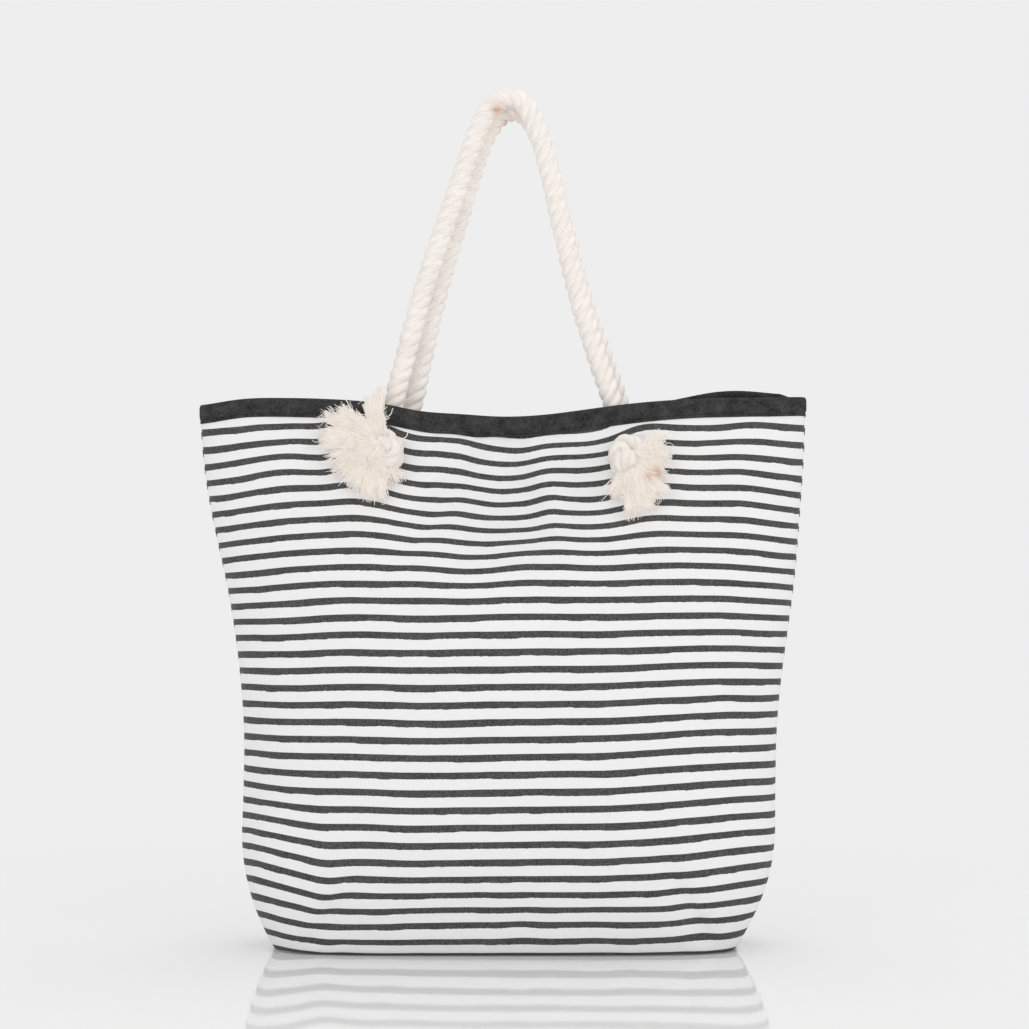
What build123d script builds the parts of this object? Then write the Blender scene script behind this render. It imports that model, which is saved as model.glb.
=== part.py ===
"""Striped canvas beach bag with two knotted rope handles.

Frame: millimetres, +Z up, +X to the right, the front of the bag faces -Y.
The origin is under the middle of the base, on the surface that the bag stands on.
"""

import os
from math import cos, exp, pi, radians, tan

from build123d import *

# Overall form of the bag.
bag_height = 442.0       # rim height away from the middle
base_width = 378.0
belly_width = 437.0
mouth_width = 495.0
base_depth = 112.0
belly_depth = 158.0
mouth_depth = 60.0
rim_sag = 15.0           # how far the rim drops at the middle
sag_spread = 95.0        # half width of that drop
base_round_height = 100.0    # height over which the base rounds up into the walls
flare_start = 152.0      # height at which the sides begin to widen
lean_start = 208.0       # height at which the walls begin to lean in to the mouth
base_squareness = 4.4    # 2 is an ellipse, larger is more like a rectangle
belly_squareness = 2.4
mouth_squareness = 2.05

# The mouth is held together at its middle by a magnetic snap.
snap_height = 399.0
snap_radius = 9.0
snap_thickness = 3.0     # of each half
pinch_spread = 60.0      # half width of the gathered middle
pinch_start = 276.0      # height at which the middle begins to gather

# Cloth and tape.
canvas = 1.2
cloth_gap = 0.3          # between one layer and the next
lining = 0.7
tape = 1.0
tape_width = 16.0        # visible height of the folded rim tape

# Rope, eyelets, knots and their frayed ends.
rope_diameter = 17.5
rope_gap = 0.35          # half the gap between the two handles where they meet
eyelet_x = 98.0
rope_crossing_x = 78.0   # nearest to the middle that a rope crosses the rim
eyelet_height = 396.0
eyelet_bore_radius = 9.4
eyelet_wall = 0.8
eyelet_flange_radius = 15.5
eyelet_sheet = 1.2       # thickness of the flange
washer_radius = 14.5
washer_thickness = 0.9
metal_gap = 0.4          # between metal and cloth
knot_radius = 19.0
knot_height = 27.0
knot_round = 9.0
frayed_reach = 47.0      # from the knot's axis to the tips
frayed_thickness = 14.0
frayed_lift = 5.0        # from the eyelet's flange to the frayed yarns
rope_bend_back = 14.0    # each side of the corner where a rope turns into its eyelet

# The handles fold outwards over the rim.
fold_clearance = 0.3
fold_rise = 1.5          # of the fold line over the tape

wall_points = 29         # along each half of a section
round_arc = 0.45         # share of the shorter run that an arc takes

rope_radius = rope_diameter / 2
lining_face = canvas + cloth_gap + lining
inside = lining_face + cloth_gap + tape
snap_depth = snap_thickness + cloth_gap + lining_face
section_top = bag_height + tape_width
section_levels = [0.0, 0.05, 0.13, 0.23, 0.36, 0.49, 0.6, 0.69, 0.765, 0.82, 0.87, 0.91, 0.955, 1.0]


def blend(low, high, share):
    """A value between low and high, with level ends."""
    share = min(max(share, 0.0), 1.0)
    return low + (high - low) * share * share * (3 - 2 * share)


def half_width(z):
    if z < base_round_height:
        left = 1 - z / base_round_height
        return (belly_width - (belly_width - base_width) * left * left) / 2
    share = (z - flare_start) / (bag_height - flare_start)
    return blend(belly_width, mouth_width, share) / 2


def side_depth(z):
    """Half the depth of the bag away from its middle."""
    if z < base_round_height:
        left = 1 - z / base_round_height
        return (belly_depth - (belly_depth - base_depth) * left * left) / 2
    share = max(z - lean_start, 0.0) / (bag_height - lean_start)
    return (belly_depth - (belly_depth - mouth_depth) * share**1.6) / 2


def middle_depth(z):
    """Half the depth of the bag where the snap gathers it."""
    share = (z - pinch_start) / (snap_height - snap_radius - pinch_start)
    return blend(min(side_depth(z), belly_depth / 2), snap_depth, share)


def squareness(z):
    if z < flare_start:
        return blend(base_squareness, belly_squareness, z / flare_start)
    return blend(belly_squareness, mouth_squareness, (z - flare_start) / (bag_height - flare_start))


def wall_depth(x, z, inset=0.0):
    """Distance from the middle plane to a wall that lies inset inside the outer one."""
    reach = half_width(z) - inset
    share = min(abs(x) / reach, 1.0) ** (squareness(z) / 2)
    gathered = exp(-((x / pinch_spread) ** 2))
    depth = side_depth(z) * (1 - gathered) + middle_depth(z) * gathered - inset
    return depth * (1 - share * share) ** (1 / squareness(z))


def wall_section(z, inset, side):
    """Points along the front (side -1) or back (side 1) half of a level section."""
    points = []
    for step in range(wall_points):
        turn = pi * step / (wall_points - 1)
        if step in (0, wall_points - 1):
            x = (half_width(z) - inset) * (1 if step == 0 else -1)
            points.append((x, 0.0))
            continue
        share = abs(cos(turn)) ** (2 / squareness(z))
        x = (half_width(z) - inset) * share * (1 if cos(turn) > 0 else -1)
        points.append((x, side * wall_depth(x, z, inset)))
    return points


def rim_height(x):
    return bag_height - rim_sag * exp(-((x / sag_spread) ** 2))


def bag_form(inset, floor=0.0):
    """The whole bag as a solid whose walls lie inset inside the outer ones."""
    with BuildPart() as form:
        for level in section_levels:
            z = level * section_top
            with BuildSketch(Plane.XY.offset(z)):
                with BuildLine():
                    Spline(*wall_section(z, inset, -1))
                    Spline(*wall_section(z, inset, 1))
                make_face()
        loft()
        if floor > 0:
            split(bisect_by=Plane.XY.offset(floor), keep=Keep.TOP)
    return form.part


def below_rim(rise, depth):
    """The space under a line that lies rise over the rim, down to depth."""
    reach = mouth_width / 2 + tape_width
    stations = [reach * step / 8 for step in range(-8, 9)]
    top = [(x, rim_height(x) + rise) for x in stations]
    bottom = [(x, rim_height(x) - depth) for x in reversed(stations)]
    with BuildPart() as space:
        with BuildSketch(Plane.XZ):
            with BuildLine():
                Spline(*top)
                Line(top[-1], bottom[0])
                Spline(*bottom)
                Line(bottom[-1], top[0])
            make_face()
        extrude(amount=belly_depth, both=True)
    return space.part


def front_or_back(side):
    """The kept half: the plane's normal points to the front."""
    return Keep.TOP if side < 0 else Keep.BOTTOM


def eyelet_plane(x, side):
    """The plane on the outer wall at an eyelet, with its normal out of the bag."""
    z = eyelet_height
    small = 0.5
    slope_x = (wall_depth(x + small, z) - wall_depth(x - small, z)) / (2 * small)
    slope_z = (wall_depth(x, z + small) - wall_depth(x, z - small)) / (2 * small)
    normal = Vector(-slope_x, side, -slope_z).normalized()
    across = Vector(1, 0, 0) - normal * normal.X
    return Plane(origin=(x, side * wall_depth(x, z), z), x_dir=across, z_dir=normal)


eyelet_planes = {
    side: [eyelet_plane(-eyelet_x, side), eyelet_plane(eyelet_x, side)] for side in (-1, 1)
}
side_names = {-1: "front", 1: "back"}
hand_names = {-1: "left", 1: "right"}
everything_below = 2 * bag_height

barrel_radius = eyelet_bore_radius + eyelet_wall
under_rim = below_rim(0.0, everything_below)


# Canvas panels and the lining, sewn together along the sides and the middle of the base.
os.makedirs("parts", exist_ok=True)


def cloth_layer(kind, outside, hollow):
    """One layer of the bag, cut at the rim, pierced at the eyelets and parted at the seams."""
    with BuildPart() as layer:
        add(outside)
        add(hollow, mode=Mode.SUBTRACT)
        add(under_rim, mode=Mode.INTERSECT)
    for side, name in side_names.items():
        with BuildPart() as cloth:
            add(layer.part)
            split(bisect_by=Plane.XZ, keep=front_or_back(side))
            for plane in eyelet_planes[side]:
                with BuildSketch(plane):
                    Circle(barrel_radius + metal_gap)
                extrude(amount=inside * 2, both=True, mode=Mode.SUBTRACT)
        cloth.part.label = f"{name}_{kind}"
        export_step(cloth.part, f"parts/{name}_{kind}.step")


cloth_layer("panel", bag_form(0.0), bag_form(canvas, canvas))
lining_outside = canvas + cloth_gap
cloth_layer("lining", bag_form(lining_outside, lining_outside), bag_form(lining_face, lining_face))


# Tape folded over the rim, one length on the front and one on the back.
tape_floor = bag_height - rim_sag - 2 * tape_width

with BuildPart() as slot:
    add(bag_form(-cloth_gap, tape_floor))
    add(bag_form(lining_face + cloth_gap, tape_floor), mode=Mode.SUBTRACT)
    add(below_rim(cloth_gap, everything_below), mode=Mode.INTERSECT)

with BuildPart() as rim_tape:
    add(bag_form(-cloth_gap - tape, tape_floor))
    add(bag_form(inside, tape_floor), mode=Mode.SUBTRACT)
    add(below_rim(cloth_gap + tape, tape_width - cloth_gap - tape), mode=Mode.INTERSECT)
    add(slot.part, mode=Mode.SUBTRACT)

for side, name in side_names.items():
    with BuildPart() as binding:
        add(rim_tape.part)
        split(bisect_by=Plane.XZ, keep=front_or_back(side))
    binding.part.label = f"{name}_binding"
    export_step(binding.part, f"parts/{name}_binding.step")


# Eyelets: a flanged barrel from outside, clinched over a washer inside.
washer_top = -lining_face - 2 * metal_gap
clinch_top = washer_top - washer_thickness - cloth_gap / 2
clinch_radius = eyelet_bore_radius + 3 * eyelet_wall
clinch_bottom = clinch_top - eyelet_wall
flange_top = metal_gap + eyelet_sheet


def flat_ring(plane, inner, outer, bottom, top):
    """A flat ring about the plane's axis, between two heights over the plane."""
    with BuildPart() as ring:
        with BuildSketch(plane.offset(bottom)):
            Circle(outer)
            Circle(inner, mode=Mode.SUBTRACT)
        extrude(amount=top - bottom)
    return ring.part


for side, name in side_names.items():
    rings = []
    washer_rings = []
    for plane in eyelet_planes[side]:
        bore = eyelet_bore_radius
        rings.append(flat_ring(plane, bore, barrel_radius, clinch_bottom, flange_top))
        rings.append(flat_ring(plane, bore, eyelet_flange_radius, metal_gap, flange_top))
        rings.append(flat_ring(plane, bore, clinch_radius, clinch_bottom, clinch_top))
        washer_bore = barrel_radius + cloth_gap / 2
        washer_bottom = washer_top - washer_thickness
        washer_rings.append(
            flat_ring(plane, washer_bore, washer_radius, washer_bottom, washer_top)
        )
    with BuildPart() as eyelets:
        add(rings)
    eyelets.part.label = f"{name}_eyelets"
    export_step(eyelets.part, f"parts/{name}_eyelets.step")

    with BuildPart() as washers:
        add(washer_rings)
    washers.part.label = f"{name}_eyelet_washers"
    export_step(washers.part, f"parts/{name}_eyelet_washers.step")


# Magnetic snap, closed: one half on each face of the lining.
for side, name in side_names.items():
    snap_plane = Plane(origin=(0, 0, snap_height), x_dir=(1, 0, 0), z_dir=(0, side, 0))
    with BuildPart() as snap_half:
        with BuildSketch(snap_plane):
            Circle(snap_radius)
        extrude(amount=snap_thickness)
        rim_edges = snap_half.edges().filter_by(GeomType.CIRCLE).sort_by(Axis.Y)
        outer_edge = rim_edges[-1] if side > 0 else rim_edges[0]
        fillet(outer_edge, snap_thickness / 4)
    snap_half.part.label = f"{name}_snap_half"
    export_step(snap_half.part, f"parts/{name}_snap_half.step")


# Rope handles. Each rope runs from a knot, in through its eyelet, up inside the rim,
# over the handle's loop and back down to the other knot.
fold_height = rim_height(eyelet_x) + cloth_gap + tape + fold_rise
rope_inset = wall_depth(rope_crossing_x - rope_radius, fold_height, inside) - rope_radius - metal_gap
fold_line = wall_depth(eyelet_x, fold_height) + cloth_gap + tape
loop_offset = rope_radius + rope_gap
knot_seat = flange_top + cloth_gap
loop_top = 689.0

# Places along the loops, left to right: across and height.
front_loop = [
    (-94, 437), (-80, 490), (-67, 540), (-47, 598), (-33, 640), (-22, 671), (-8, loop_top),
    (12, loop_top), (24, 669), (34, 636), (44, 590), (56, 537), (71, 486), (88, 437),
]
back_loop = [
    (-78, 437), (-68, 490), (-56, 540), (-40, 594), (-27, 640), (-16, 669), (-3, 685),
    (15, 684), (27, 665), (37, 630), (48, 584), (60, 536), (77, 487), (95, 437),
]
loop_start = front_loop[0][1]


def rope_route(side):
    """The places that one rope passes near, from its left knot to its right one."""
    loop = front_loop if side < 0 else back_loop
    left, right = eyelet_planes[side]
    over = []
    for x, z in loop:
        share = (z - loop_start) / (loop_top - loop_start)
        y = rope_inset + (loop_offset - rope_inset) * share
        over.append(Vector(x, side * y, z))

    def into(plane, top):
        """From the knot's seat to the bend behind the eyelet."""
        axis = plane.z_dir
        depth_to_rope = (abs(plane.origin.Y) - rope_inset) / abs(axis.Y)
        corner = plane.origin - axis * depth_to_rope
        upward = (top - corner).normalized()
        seat = plane.origin + axis * knot_seat
        return [seat, corner + axis * rope_bend_back, corner + upward * rope_bend_back]

    return into(left, over[0]) + over + list(reversed(into(right, over[-1])))


def corner_radii(route):
    """An arc for each corner, as large as its two runs allow."""
    radii = []
    for before, here, after in zip(route, route[1:], route[2:]):
        half_turn = radians((here - before).get_angle(after - here)) / 2
        shorter = min((here - before).length, (after - here).length)
        radii.append(round_arc * shorter / tan(half_turn))
    return radii


for side, name in side_names.items():
    route = rope_route(side)
    radii = corner_radii(route)
    runs = [(b - a).length for a, b in zip(route, route[1:])]
    with BuildPart() as rope:
        with BuildLine():
            path = FilletPolyline(*route, radius=radii)
        with BuildSketch(Plane(origin=path @ 0, z_dir=path % 0)):
            Circle(rope_radius)
        sweep()
    whole = pi * rope_radius**2 * path.length
    print(f"{name} rope: {path.length:.0f} long, volume over section times length "
          f"{rope.part.volume / whole:.4f}")
    print("  radii", [round(r, 1) for r in radii], "runs", [round(r, 1) for r in runs])
    print("  route", [(round(p.X, 1), round(p.Y, 1), round(p.Z, 1)) for p in route])

    with BuildPart() as handle:
        add(rope.part)
        split(bisect_by=Plane.XY.offset(fold_height + fold_clearance), keep=Keep.TOP)
    handle.part.label = f"{name}_handle_rope"
    export_step(handle.part, f"parts/{name}_handle_rope.step")

    for hand, hand_name in hand_names.items():
        with BuildPart() as rope_end:
            add(rope.part)
            split(bisect_by=Plane.XY.offset(fold_height), keep=Keep.BOTTOM)
            split(bisect_by=Plane.YZ, keep=Keep.TOP if hand > 0 else Keep.BOTTOM)
        rope_end.part.label = f"{name}_{hand_name}_rope_end"
        export_step(rope_end.part, f"parts/{name}_{hand_name}_rope_end.step")


# Knots outside the eyelets, each with its frayed end fanned out beside it.
# The fans' directions are in degrees about the eyelet's outward axis, from and to.
fan_angles = {
    (-1, -1): (112, 262),
    (-1, 1): (-118, 22),
    (1, -1): (-75, 68),
    (1, 1): (118, 252),
}
for side, name in side_names.items():
    for hand, hand_name in hand_names.items():
        plane = eyelet_planes[side][0 if hand < 0 else 1]
        seat = plane.offset(knot_seat)
        with BuildPart() as knot:
            with BuildSketch(seat):
                Circle(knot_radius)
            extrude(amount=knot_height)
            fillet(knot.edges().filter_by(GeomType.CIRCLE), knot_round)
        knot.part.label = f"{name}_{hand_name}_knot"
        export_step(knot.part, f"parts/{name}_{hand_name}_knot.step")

        start, end = fan_angles[side, hand]
        inner = knot_radius + cloth_gap
        with BuildPart() as frayed:
            with BuildSketch(seat.offset(frayed_lift)):
                with BuildLine():
                    near = CenterArc((0, 0), inner, start, end - start)
                    far = CenterArc((0, 0), frayed_reach, start, end - start)
                    Line(near @ 0, far @ 0)
                    Line(near @ 1, far @ 1)
                make_face()
            extrude(amount=frayed_thickness)
            tips = frayed.faces().filter_by(GeomType.CYLINDER).sort_by(SortBy.AREA)[-1]
            fillet(tips.edges().filter_by(GeomType.CIRCLE), frayed_thickness * round_arc)
        frayed.part.label = f"{name}_{hand_name}_frayed_end"
        export_step(frayed.part, f"parts/{name}_{hand_name}_frayed_end.step")

print(f"fold line at y {fold_line:.2f}, z {fold_height:.2f}; rope inset {rope_inset:.2f}")
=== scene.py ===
# %% [markdown]
# # A striped beach bag
#
# The solids of the bag are already packed as a frame. This file dresses them: printed canvas,
# a stitched rim tape, twisted rope handles, knots with frayed ends, and small metal parts.
# Lengths are in millimetres, and MM turns them into metres where a mesh is made. Only the floor
# and the lamps are placed in metres.

import bpy
import numpy as np
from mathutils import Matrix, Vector
from mathutils.noise import noise as smooth_noise


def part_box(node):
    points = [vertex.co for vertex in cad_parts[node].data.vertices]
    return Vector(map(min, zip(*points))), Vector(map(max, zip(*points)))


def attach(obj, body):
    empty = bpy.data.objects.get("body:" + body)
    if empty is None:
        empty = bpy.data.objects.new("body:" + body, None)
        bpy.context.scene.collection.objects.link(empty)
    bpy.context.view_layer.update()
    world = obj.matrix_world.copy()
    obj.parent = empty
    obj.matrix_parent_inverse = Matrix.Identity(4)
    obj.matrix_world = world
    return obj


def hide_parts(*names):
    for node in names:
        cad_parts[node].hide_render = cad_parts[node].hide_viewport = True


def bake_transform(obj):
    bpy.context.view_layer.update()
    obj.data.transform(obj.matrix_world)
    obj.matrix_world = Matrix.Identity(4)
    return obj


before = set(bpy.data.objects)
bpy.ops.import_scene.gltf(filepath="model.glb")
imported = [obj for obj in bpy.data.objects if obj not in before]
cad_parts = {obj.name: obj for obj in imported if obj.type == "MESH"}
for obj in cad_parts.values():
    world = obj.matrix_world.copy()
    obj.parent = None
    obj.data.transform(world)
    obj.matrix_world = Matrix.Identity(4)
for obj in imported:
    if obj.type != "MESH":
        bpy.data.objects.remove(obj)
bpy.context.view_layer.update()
MM = 0.001

# %% [markdown]
# ## Wiring materials like sums
#
# A pattern such as a stripe is arithmetic on coordinates. Blender does it with Math nodes, which
# are slow to place by hand, so a small class wraps a socket: adding or comparing two of them
# adds the node. Every other node comes from its `node` method.

# %% A socket that can be added up
def both_ways(operation):
    """An operator and its reflected form, for 1 - wire: each adds a Math node."""
    def forward(self, other):
        return self.math(operation, self, other)

    def reflected(self, other):
        return self.math(operation, other, self)

    return forward, reflected


class Wire:
    """One output socket in a material. Arithmetic on it adds Math nodes beside it."""

    def __init__(self, tree, socket=None):
        self.tree = tree
        self.socket = socket

    def node(self, kind, settings=None, sockets=None, output=0):
        """Adds any node: first its settings, then the values or links of its sockets."""
        made = self.tree.nodes.new(kind)
        for name, value in (settings or {}).items():
            if name == "stops":
                while len(made.color_ramp.elements) < len(value):
                    made.color_ramp.elements.new(0.5)
                for element, (place, colour) in zip(made.color_ramp.elements, value):
                    element.position = place
                    element.color = (*colour, 1)
            else:
                setattr(made, name, value)
        for name, value in (sockets or {}).items():
            if isinstance(value, Wire):
                self.tree.links.new(value.socket, made.inputs[name])
            else:
                made.inputs[name].default_value = value
        return Wire(self.tree, made.outputs[output])

    def math(self, operation, *values):
        return self.node("ShaderNodeMath", {"operation": operation}, dict(enumerate(values)))

    __add__, __radd__ = both_ways("ADD")
    __sub__, __rsub__ = both_ways("SUBTRACT")
    __mul__, __rmul__ = both_ways("MULTIPLY")
    __truediv__, __rtruediv__ = both_ways("DIVIDE")
    __lt__, __gt__ = both_ways("LESS_THAN")


# %% [markdown]
# ## Starting a material
#
# Cloth, rope and metal all start from one Principled shader: what is the same all over is typed
# in, and what varies is wired in. Patterns could follow an object's place, but cloth and yarn
# carry theirs along when they bend, so they follow vectors that are stored on the mesh.

# %% A material to start wiring from
def linear(grey_or_rgb):
    """Turns a colour as seen on a screen, 0 to 255, into the light values Blender mixes."""
    rgb = np.broadcast_to(np.asarray(grey_or_rgb, float), 3) / 255
    light = np.where(rgb <= 0.04045, rgb / 12.92, ((rgb + 0.055) / 1.055) ** 2.4)
    return tuple(float(part) for part in light)


def new_material(name, **uniform):
    """A material with one Principled shader, and the values that are the same all over it."""
    material = bpy.data.materials.new(name)
    material.use_nodes = True
    shader = material.node_tree.nodes["Principled BSDF"]
    for socket, value in uniform.items():
        shader.inputs[socket.replace("_", " ")].default_value = value
    return material, shader, Wire(material.node_tree)


def plug(shader, wires):
    """Feeds wires to the shader's sockets."""
    for socket, wire in wires.items():
        wire.tree.links.new(wire.socket, shader.inputs[socket])


def attribute(start, name):
    """A vector stored on the mesh, and the wires of its X, Y and Z."""
    vector = start.node("ShaderNodeAttribute", {"attribute_name": name}, output=1)
    split = vector.node("ShaderNodeSeparateXYZ", sockets={"Vector": vector})
    outputs = split.socket.node.outputs
    return vector, [Wire(start.tree, outputs[axis]) for axis in range(3)]


# %% [markdown]
# ## The camera
#
# A bag is shown from far away with a long lens, so that its upright sides stay upright. The
# lens follows from how wide the view is at the bag's distance. The camera stands a little above
# the belly and tilts up. It isn't shifted, so it can be turned round the bag.

# %% Camera
scene = bpy.context.scene
scene.view_settings.view_transform = "Standard"
sensor_width = 36
camera_distance, view_width = 1900, 843
camera_side, camera_height, picture_middle = 6, 300, 350.8

camera_data = bpy.data.cameras.new("camera")
camera = bpy.data.objects.new("camera", camera_data)
scene.collection.objects.link(camera)
scene.camera = camera
camera_data.sensor_width = sensor_width
camera_data.lens = sensor_width * camera_distance / view_width
camera.location = Vector((camera_side, -camera_distance, camera_height)) * MM
tilt = np.arctan2(picture_middle - camera_height, camera_distance)
camera.rotation_euler = (np.pi / 2 + tilt, 0, 0)
print("lens", round(camera_data.lens, 1), "tilt", round(float(np.degrees(tilt)), 2), "degrees")

# %% [markdown]
# ## The lines of the two ropes
#
# Each handle is one rope that runs from a knot, in through its eyelet, up inside the rim, over
# in a loop and back down to the other knot. It could be simulated, but a stiff rope that is held
# at both ends has one calm shape, which a NURBS curve guided by listed points gives.

# %% The ropes' lines
rope_diameter = 17.5
rope_radius = rope_diameter / 2

front_route = [
    (-97.9, -40.5, 396.5), (-99, -24.2, 392.3), (-98.2, -10.7, 402.8),
    (-94, -10.7, 437), (-80, -10.4, 490), (-67, -10, 540), (-47, -9.7, 598), (-33, -9.4, 640),
    (-22, -9.2, 672), (-8, -9.1, 691.5), (12, -9.1, 691.5), (24, -9.2, 670), (34, -9.4, 636),
    (44, -9.7, 590), (56, -10.1, 537), (71, -10.4, 486), (88, -10.7, 437),
    (96.5, -10.7, 402.5), (99, -24.2, 392.3), (97.9, -40.5, 396.5),
]
back_route = [
    (-97.9, 40.5, 396.5), (-99, 24.2, 392.3), (-94.1, 10.7, 401.6),
    (-78, 10.7, 437), (-68, 10.4, 490), (-56, 10, 540), (-40, 9.7, 594), (-27, 9.4, 640),
    (-16, 9.2, 669), (-3, 9.1, 685), (15, 9.1, 684), (27, 9.3, 665), (37, 9.5, 630),
    (48, 9.8, 584), (60, 10.1, 536), (77, 10.4, 487), (95, 10.7, 437),
    (98.5, 10.7, 402.8), (99, 24.2, 392.3), (97.9, 40.5, 396.5),
]
print("guide points:", len(front_route), "in front and", len(back_route), "at the back")


# %% Working with lines
def nurbs_line(points, order=3, fineness=24):
    """Points along a NURBS curve that is guided by the given points."""
    data = bpy.data.curves.new("guide", "CURVE")
    data.dimensions = "3D"
    spline = data.splines.new("NURBS")
    spline.points.add(len(points) - 1)
    for place, point in zip(spline.points, points):
        place.co = (*point, 1)
    spline.order_u = order
    spline.use_endpoint_u = True
    spline.resolution_u = fineness
    guide = bpy.data.objects.new("guide", data)
    scene.collection.objects.link(guide)
    bpy.context.view_layer.update()
    mesh = bpy.data.meshes.new_from_object(guide)
    line = np.array([v.co for v in mesh.vertices])
    bpy.data.objects.remove(guide)
    bpy.data.curves.remove(data)
    bpy.data.meshes.remove(mesh)
    return line


def travelled(line):
    """How far along a line each of its points lies. A grid is taken as one line per column."""
    steps = np.linalg.norm(np.diff(line, axis=0), axis=-1)
    return np.concatenate([np.zeros_like(steps[:1]), np.cumsum(steps, 0)])


def evenly(line, step):
    """The same line with points a step apart."""
    along = travelled(line)
    count = max(int(round(along[-1] / step)), 2)
    wanted = np.linspace(0, along[-1], count + 1)
    return np.stack([np.interp(wanted, along, line[:, axis]) for axis in range(3)], 1)


def carried_frames(line, first_up):
    """At each point of a line: its direction and two sides that turn no more than they must."""
    ahead = np.gradient(line, axis=0)
    ahead /= np.linalg.norm(ahead, axis=1)[:, None]
    sides = np.empty_like(line)
    side = np.asarray(first_up, float)
    for i, direction in enumerate(ahead):
        side = side - direction * (side @ direction)
        side /= np.linalg.norm(side)
        sides[i] = side
    return ahead, sides, np.cross(ahead, sides)


# %% [markdown]
# ## Rope as three twisted strands
#
# Rope is three soft strands that wind round each other like a right-handed screw. A smooth tube
# with a bump would lose the scalloped outline, so each strand is swept as real geometry on its
# own helix. Stored coordinates along and around it let the material draw its yarns.

# %% Mesh helpers
pieces = {}


def make_piece(name, vertices, faces, stored):
    """A smooth mesh piece from millimetres, with numbers or vectors stored on its points."""
    mesh = bpy.data.meshes.new(name)
    mesh.from_pydata((vertices * MM).tolist(), [], faces)
    for key, values in stored.items():
        kind, field = ("FLOAT", "value") if values.ndim == 1 else ("FLOAT_VECTOR", "vector")
        layer = mesh.attributes.new(key, kind, "POINT")
        layer.data.foreach_set(field, values.astype(np.float32).ravel())
    mesh.polygons.foreach_set("use_smooth", [True] * len(mesh.polygons))
    mesh.update()
    pieces[name] = bpy.data.objects.new(name, mesh)
    scene.collection.objects.link(pieces[name])


def ring_turns(sides):
    return np.arange(sides) * 2 * np.pi / sides


def together(*parts):
    """Numbers or arrays of unlike shapes, side by side on a new last axis."""
    return np.stack(np.broadcast_arrays(*parts), -1)


def hill(at, middle, spread):
    """A soft bump, one high."""
    return np.exp(-(((at - middle) / spread) ** 2))


class Bundle:
    """Collects many tubes into one mesh."""

    def __init__(self):
        self.vertices, self.faces, self.stored, self.count = [], [], [], 0

    def skin(self, rings, along, seed):
        """Joins rings of points into a closed tube. It stores length, turn and a seed."""
        length, sides, _ = rings.shape
        where = together(along[:, None], np.arange(sides) / sides, seed)
        self.vertices.append(rings.reshape(-1, 3))
        self.stored.append(where.reshape(-1, 3))
        index = self.count + np.arange(length * sides).reshape(length, sides)
        turned = np.roll(index, -1, axis=1)
        quads = np.stack([index[:-1], turned[:-1], turned[1:], index[1:]], -1)
        self.faces.extend(quads.reshape(-1, 4).tolist())
        self.faces.append(index[0, ::-1].tolist())
        self.faces.append(index[-1].tolist())
        self.count += length * sides

    def tube(self, line, radii, sides, seed, first_up=(0.31, 0.2, 0.93)):
        """A round tube along a line, with one radius or one for each point."""
        radii = np.broadcast_to(radii, len(line))
        _, side, up = carried_frames(line, first_up)
        turns = ring_turns(sides)[:, None]
        ring = side[:, None] * np.cos(turns) + up[:, None] * np.sin(turns)
        self.skin(line[:, None] + ring * radii[:, None, None], travelled(line), seed)

    def make(self, name, marks=()):
        """Makes the piece. Each mark is a place and a radius where the cotton has browned."""
        points = np.concatenate(self.vertices)
        brown = np.zeros(len(points))
        for place, radius in marks:
            brown += np.exp(-(((points - place) / radius) ** 2).sum(1))
        stored = {"strand": np.concatenate(self.stored), "brown": brown}
        make_piece(name, points, self.faces, stored)


# %% Twisted strands along any line
rope_lay = 31   # length in which a strand goes once round
strand_radius = 4.75
strand_offset = rope_radius - strand_radius
strand_thick, strand_wide = 0.97, 1.1   # strands press each other a little flat
strand_sides = 16
yarns_round, yarn_ridge, yarn_lay = 7, 0.022, 2.6
loose, loose_wave = 0.03, 23   # how unevenly strands lie, and over what length
plump, plump_wave = 0.025, 17


def twisted_rope(bundle, line, turn, radius=rope_radius):
    """Adds three strands that wind round a line."""
    scale = radius / rope_radius
    ahead, side, up = carried_frames(line, (0.2, -0.97, 0.1))
    along = travelled(line)
    turns = ring_turns(strand_sides)
    ridges = 1 + yarn_ridge * np.sin(turns * yarns_round + (along / yarn_lay)[:, None])
    for strand in range(3):
        angle = 2 * np.pi * (along / rope_lay + strand / 3) + turn
        away = side * np.cos(angle)[:, None] + up * np.sin(angle)[:, None]
        across = np.cross(ahead, away)
        wobble = 1 + loose * np.sin(along / loose_wave + strand * 2.1)
        swell = 1 + plump * np.sin(along / plump_wave + strand)
        centre = line + away * (strand_offset * scale * wobble)[:, None]
        ring = away[:, None] * np.cos(turns)[:, None] * strand_thick
        ring = ring + across[:, None] * np.sin(turns)[:, None] * strand_wide
        size = (strand_radius * scale * swell)[:, None] * ridges
        bundle.skin(centre[:, None] + ring * size[:, :, None], along, strand + turn)


# %% The two handles
rope_step = 1.6
handles = {
    "front": {"route": front_route, "turn": 0.6, "marks": [((-8, -14, 681), 5), ((3, -14, 680), 4)]},
    "back": {"route": back_route, "turn": 2.2, "marks": [((0, 9, 672), 5)]},
}
rope_lines = {}
for side_name, handle in handles.items():
    line = evenly(nurbs_line(handle["route"]), rope_step)
    rope = Bundle()
    twisted_rope(rope, line, handle["turn"])
    rope.make(f"{side_name}_rope", handle["marks"])
    rope_lines[side_name] = line
    print(side_name, "rope length", round(float(travelled(line)[-1]), 1), "points", len(line))

# %% [markdown]
# ## The shape of the bag
#
# A standing canvas bag is nearly a tube of constant girth: boxy at the base, round at the belly
# and flat at the mouth. Simulated cloth would have to be steered to a known outline. Instead
# each level is a superellipse, whose one number goes from a rounded rectangle to an ellipse.

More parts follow.
